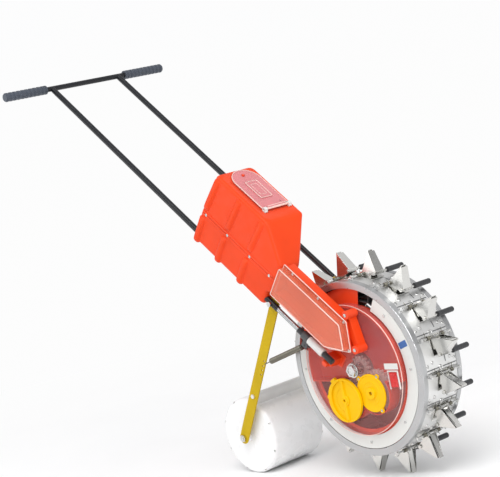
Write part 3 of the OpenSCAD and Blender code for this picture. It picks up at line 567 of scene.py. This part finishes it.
def rim_screws():
    """Two rows on the tread, and the wheel disc's screws with their shanks."""
    shape = Shape()
    for i in range(BEAKS):
        out = spoke(BEAK_PITCH * i)[0]
        for y in (-48, 48):
            shape.screw(at_wheel(0, y, 0) + out * PLATE_R / 1000, out, 4.2, 2.2, 0.3 + i)
    for i in range(8):
        at = at_wheel(0, 70.1, 0) + spoke(45 * i)[0] * 0.201
        shape.screw(at, LEFT, 5, 2.9, 0.5 + i)
        shape.lathe([(-9, 2.4), (0.1, 2.4)], at, LEFT, 12)
    piece("rim_screws", shape, ZINC, "wheel", 30, replaces=("wheel_screws",))


def roller_screws():
    """Eight round each end, on the caps' rounded corners."""
    shape = Shape()
    for side in (-1, 1):
        for i in range(8):
            out = spoke(22.5 + 45 * i)[0]
            across = Vector((0, side, 0))
            shape.screw(ROLLER + out * 0.1003 + across * 0.0889, out + across * 0.75, 3.4, 1.7, i)
    piece("roller_screws", shape, ZINC, "roller", 30)


guard_screws()
rim_screws()
roller_screws()


# ---------------------------------------------------------------- tube sleeves

def tube_sleeves(name, mat, runs, rings=()):
    """Sleeves on both lower tubes: radius, start, end and edge of each, and how far along rings stand up."""
    shape = Shape()
    axis, tube_h = (-COS, 0, SIN), 5
    for y in (-120, 120):
        for r, start, end, edge in runs:
            at, reach, bore = on_slope(start, y, tube_h), end - start, r - 2.5
            near = [(0, bore), (0, r - edge), (edge * 0.3, r - edge * 0.3), (edge, r)]
            shape.lathe(near + [(reach - d, w) for d, w in near[::-1]], at, axis, 48)
            for d in rings:
                shape.lathe([(d - 1.6, r - 0.2), (d - 1, r + 0.5), (d + 1, r + 0.5), (d + 1.6, r - 0.2)],
                            at, axis, 48)
    piece(name, shape, mat, "frame", 40, replaces=("tube_sleeves",))


tube_sleeves("tube_grips_and_ends", RUBBER, ((8.3, 133.2, 175, 0.8), (8, 42, 77, 1.4)))
tube_sleeves("tube_bushes", WHITE, ((11, 77.2, 133, 1.6),), rings=(9, 46))


# ---------------------------------------------------------------- coil springs

def pull_spring(hand, y):
    """A tension spring from a hole in the strut to its anchor pin on the tube. Sizes here are in metres."""
    across = Vector((0, 1, 0))
    down = (ROLLER - STRUT).normalized()
    ahead = Vector((-down.z, 0, down.x))
    start = STRUT + down * 0.182 + ahead * 0.019 + across * y
    end = on_slope(144, 0, -25) + across * y
    along = (end - start).normalized()
    other = along.cross(across)
    hook, eye, coil, turns, tail = 0.0052, 0.0042, 0.0067, 56, 0.018
    path = []
    for i in range(21):
        t = math.radians(250 - 265 * i / 20)
        path.append(start - along * hook + (across * math.sin(t) - along * math.cos(t)) * hook)
    steps = turns * 14
    for i in range(steps + 1):
        f = i / steps
        r = coil * min(1, 0.25 + f * turns / 1.2, 0.25 + (1 - f) * turns / 1.2)
        t = 2 * math.pi * f * turns
        path.append(start + along * (tail + ((end - start).length - 2 * tail) * f)
                    + (across * math.cos(t) + other * math.sin(t)) * r)
    for i in range(21):
        t = math.radians(-90 + 300 * i / 20)
        path.append(end + (along * math.sin(t) + other * math.cos(t)) * eye)
    shape = Shape()
    shape.tube(path, 1.25, 8)
    spring = piece(f"pull_spring_{hand}", shape, WIRE, "frame", 60,
                   replaces=("tension_springs",), ride=False)
    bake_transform(spring)


pull_spring("right", -0.109)
pull_spring("left", 0.109)


# ---------------------------------------------------------------- beak levers' sleeves and return springs

def lever_sleeve(number, degrees):
    """A ribbed rubber sleeve with a rounded end, on the lever of a beak."""
    out, fore = spoke(degrees)
    profile = [(0, 3.4), (0, 5.6), (0.6, 6.8), (1.6, 7.2), (3.4, 7.2), (4.2, 6.8)]
    profile += [(4.2 + d, 6.8 + 0.10 * math.sin(d * 0.8)) for d in range(2, 50, 2)]
    profile += [(54.5, 6.8), (56.0, 6.3), (56.9, 4.9), (57.3, 0)]
    shape = Shape()
    shape.lathe(profile, at_wheel(0, 29.5, 0) + out * 0.240 + fore * 0.026, LEFT, 28)
    piece(f"lever_sleeve_{number}", shape, RUBBER, f"beak_{number}", 35)


def return_spring(shape, degrees, side):
    """A torsion spring: one leg lies on the tread, the other comes up behind the beak's cheek. In metres."""
    out, fore = spoke(degrees)
    across = Vector((0, side, 0))
    centre = at_wheel(0, 0, 0) + out * 0.231 - fore * 0.020
    outer, inner, coil, turns, steps = 0.0300, 0.0192, 0.0042, 6.45, 72
    path = [centre + across * outer - out * 0.0040 + fore * d for d in (-0.017, -0.011, -0.004)]
    for k in range(steps + 1):
        f = k / steps
        t = 2 * math.pi * f * turns - math.pi / 2
        path.append(centre + across * (outer + (inner - outer) * f)
                    + (fore * math.cos(t) + out * math.sin(t)) * coil)
    path += [centre + across * 0.0188 + out * (coil + d) - fore * (0.001 + d * 0.2) for d in (0.003, 0.007)]
    shape.tube(path, 0.8, 6)


for i, degrees in enumerate(BEAK_ANGLES):
    lever_sleeve(i + 1, degrees)
springs = Shape()
for degrees in BEAK_ANGLES:
    for side in (-1, 1):
        return_spring(springs, degrees, side)
piece("beak_springs", springs, WIRE, "wheel", 60)


# ---------------------------------------------------------------- seams, slots, eyes and rivets on the tread

def on_tread(degrees, y, rise, ahead=0.0):
    """A point over the tread plates."""
    out, fore = spoke(degrees)
    return at_wheel(0, y, 0) + (out * (PLATE_R + rise) + fore * ahead) / 1000


def bar_on_tread(shape, degrees, y0, y1, width, rise):
    half = [(-0.5 * width, -1.2), (-0.5 * width, rise * 0.4), (-0.25 * width, rise)]
    section = half + [(-w, h) for w, h in half[::-1]]
    shape.loft([[on_tread(degrees, y, h, w) for w, h in section] for y in (y0, y1)])


def tread_marks():
    """Behind each beak a seam with a hollow rivet on it, and a slot between two domed rivets. The slot is a
    dark raised bar: painted shade for the opening.
    """
    eye = [(-1, 2.2), (1.2, 2.2), (2.6, 3.0), (3.2, 4.4), (2.8, 5.8), (1.6, 6.6), (-1, 6.6)]
    dome = [(-1, 4.6), (0.5, 4.6), (1.5, 4.0), (2.2, 2.4), (2.5, 0)]
    seams, rivets = Shape(), Shape()
    for degrees in BEAK_ANGLES:
        seam_at, slot_at = degrees + 14.2, degrees + 9.8
        bar_on_tread(seams, seam_at, -52, 52, 2.6, 0.5)
        # the slot: a dark bar of painted shade where the opening is
        bar_on_tread(seams, slot_at, 15, 17.4, 17, 0.4)
        rivets.lathe(eye, on_tread(seam_at, -4, 0), spoke(seam_at)[0], 24)
        for y in (-30, 34):
            rivets.lathe(dome, on_tread(slot_at, y, 0), spoke(slot_at)[0], 20)
    piece("tread_seams_and_slot_shades", seams, GREY, "wheel", 40)
    piece("tread_rivets", rivets, ZINC, "wheel", 40)


tread_marks()


# ---------------------------------------------------------------- tags and the seed gate's frame

def slab(name, at, size, mat, turn=0.0):
    """A thin rounded plate facing right. at is the middle of its back face, from the wheel's centre."""
    corner = 1.2
    w, h, t = size[0] / 2, size[1] / 2, size[2]
    rings = []
    for d, inset in ((0, 0), (t * 0.7, 0), (t, t * 0.3)):
        ring = []
        for cx, cz, first in ((w, h, 0), (-w, h, 90), (-w, -h, 180), (w, -h, 270)):
            for k in range(5):
                a = math.radians(first + 22.5 * k)
                x = cx - math.copysign(corner, cx) + (corner - inset) * math.cos(a)
                z = cz - math.copysign(corner, cz) + (corner - inset) * math.sin(a)
                ring.append(at_wheel(at[0] + x * math.cos(turn) - z * math.sin(turn), at[1] - d,
                                     at[2] + x * math.sin(turn) + z * math.cos(turn)))
        rings.append(ring)
    shape = Shape()
    shape.loft(rings)
    piece(name, shape, mat, "frame", 30)


slab("rating_bar", (138, DISC_FACE, 11), (46, 15, 1.6), WHITE)
slab("blue_tag", (178.5, RING_FACE, 62), (27, 16, 0.8), BLUE, turn=math.radians(19))
slab("gate_lintel", (141, DISC_FACE, -0.6), (36, 3.4, 3.6), WHITE)
slab("gate_jamb_rear", (124.6, DISC_FACE, -23), (3.0, 47, 3.6), WHITE)
slab("gate_jamb_front", (157.4, DISC_FACE, -23), (3.0, 47, 3.6), WHITE)


# ---------------------------------------------------------------- mouldings on the yellow covers

def hoop(shape, axis, section, first=0, last=360, steps=72):
    """Sweeps (radius, y) points, or a function from degrees to them, round an axis."""
    rings = []
    for k in range(steps + 1):
        degrees = first + (last - first) * k / steps
        points = section(degrees) if callable(section) else section
        rings.append([round_axis(axis, degrees, r, y) for r, y in points])
    ends = last - first < 360
    shape.loft(rings, cap_first=ends, cap_last=ends)


def band(inner, outer, base, face, edge=0.8):
    """The section of a ring from its base to its face, with its outer edges cut off."""
    return [(outer, base), (outer, face + edge), (outer - edge, face), (inner + edge, face),
            (inner, face + edge), (inner, base)]


def crescent(degrees):
    """A rim that swells inwards towards the rear."""
    inner = 53.4 - 8.2 * max(0.0, math.cos(math.radians(degrees - 178))) ** 0.7
    return band(inner, 57.0, -93.6, -99.2)


def seed_cover_mouldings():
    shape = Shape()
    hoop(shape, SEED_COVER, crescent, 96, 268, 60)
    for middle, half, reach in ((119, 8, 63.5), (171, 3.6, 61.5)):
        hoop(shape, SEED_COVER, band(54, reach, -90.4, -98.2, 1.0), middle - half, middle + half, 8)
    hoop(shape, SEED_COVER, band(9.2, 14.5, -93.6, -97.4, 1.2))
    hoop(shape, SEED_COVER, band(30.5, 33.0, -93.7, -94.9, 0.6), 100, 262, 48)
    piece("seed_cover_mouldings", shape, YELLOW, "seed_cover", 35)


def gear_cover_mouldings():
    shape = Shape()
    hoop(shape, IDLER, band(44.2, 48.8, -86.6, -88.6, 1.0), -66, 160, 60)
    hoop(shape, IDLER, band(26.5, 30.0, -86.7, -88.0, 0.8), -80, 175, 60)
    for degrees in LUG_ANGLES:
        hoop(shape, round_axis(IDLER, degrees, LUG_R, 0), band(4.2, 6.6, -86.6, -88.4, 0.7), steps=28)
    piece("gear_cover_mouldings", shape, YELLOW, "frame", 35)


seed_cover_mouldings()
gear_cover_mouldings()


# ---------------------------------------------------------------- floor, light and camera, in metres

def studio_floor():
    """A pale floor that turns far from the part to the backdrop's own brightness."""
    mat = surface("studio_floor", (0.93, 0.93, 0.93), 0.6, spread=0.015, bump=0.02, big=2)
    tree = mat.node_tree
    place = add(tree, "NewGeometry").outputs["Position"]
    away = add(tree, "VectorMath", links={0: place}, operation="LENGTH")
    fade = add(tree, "MapRange", {"From Min": 0.5, "From Max": 2.6}, {"Value": away.outputs["Value"]},
               interpolation_type="SMOOTHSTEP")
    glow = add(tree, "Emission", {"Color": (1, 1, 1, 1), "Strength": 0.98})
    both = add(tree, "MixShader", links={"Fac": fade.outputs["Result"], 2: glow.outputs["Emission"],
                                         1: tree.nodes["Principled BSDF"].outputs["BSDF"]})
    tree.links.new(both.outputs["Shader"], tree.nodes["Material Output"].inputs["Surface"])
    cells, reach, drop = 24, 14.0, 0.0002
    row = cells + 1
    steps = [(2 * i / cells - 1) * reach for i in range(row)]
    mesh = bpy.data.meshes.new("studio_floor")
    mesh.from_pydata([(x, y, -drop) for x in steps for y in steps], [],
                     [[i * row + j, (i + 1) * row + j, (i + 1) * row + j + 1, i * row + j + 1]
                      for i in range(cells) for j in range(cells)])
    mesh.materials.append(mat)
    place_object("studio_floor", mesh)


def backdrop():
    """Light from all round, brighter and darker in bands by height, which the steel mirrors."""
    world = bpy.data.worlds.new("studio")
    bpy.context.scene.world = world
    world.use_nodes = True
    tree = world.node_tree
    split = add(tree, "SeparateXYZ", links={0: add(tree, "TexCoord").outputs["Generated"]})
    greys = ((0.16, 1.36), (0.30, 0.44), (0.42, 0.40), (0.50, 1.05), (0.75, 1.15), (0.85, 0.6))
    stops = [(0.0, (1.36, 1.36, 1.36, 1))] + [(p, (c, c, c * 1.01, 1)) for p, c in greys]
    colour = ramp(tree, split.outputs["Z"], stops + [(1.0, (0.9, 0.9, 0.92, 1))])
    tree.links.new(colour, tree.nodes["Background"].inputs["Color"])
    tree.nodes["Background"].inputs["Strength"].default_value = 0.72


def softbox(name, where, aim, size, power):
    lamp = bpy.data.lights.new(name, "AREA")
    lamp.shape = "RECTANGLE"
    lamp.size, lamp.size_y = size
    lamp.energy = power
    obj = place_object(name, lamp)
    obj.location = where
    obj.rotation_mode = "QUATERNION"
    obj.rotation_quaternion = (Vector(aim) - Vector(where)).to_track_quat("-Z", "Y")


def sun(name, direction, strength, angle):
    lamp = bpy.data.lights.new(name, "SUN")
    lamp.energy = strength
    lamp.angle = math.radians(angle)
    obj = place_object(name, lamp)
    obj.rotation_mode = "QUATERNION"
    obj.rotation_quaternion = Vector(direction).to_track_quat("-Z", "Y")


def camera(where, azimuth, pitch, roll, lens):
    """A camera turned by an azimuth, looking down by a pitch, and rolled about its own axis."""
    azimuth, pitch, roll = math.radians(azimuth), math.radians(pitch), math.radians(roll)
    right = Vector((math.cos(azimuth), math.sin(azimuth), 0))
    level = Vector((math.sin(azimuth), -math.cos(azimuth), 0))
    back = level * math.cos(pitch) + Vector((0, 0, math.sin(pitch)))
    up = back.cross(right)
    rows = (right * math.cos(roll) + up * math.sin(roll), up * math.cos(roll) - right * math.sin(roll), back)
    data = bpy.data.cameras.new("camera")
    data.sensor_width = 36
    data.lens = lens
    data.clip_end = 60
    cam = place_object("camera", data)
    cam.matrix_world = Matrix.Translation(where) @ Matrix(rows).transposed().to_4x4()
    bpy.context.scene.camera = cam


studio_floor()
backdrop()
sun("key", (-0.45, 0.55, -1.0), 1.5, 35)
softbox("fill", (-1.6, -2.6, 1.2), (0.0, 0, 0.4), (2.0, 1.6), 14)
softbox("rim_light", (2.6, -0.3, 1.5), (0.2, 0, 0.4), (0.9, 1.6), 18)
camera(at_wheel(2975, -2779, 752), 50.47, 5.33, -11.76, 116.8884)
bpy.context.scene.view_settings.view_transform = "Standard"
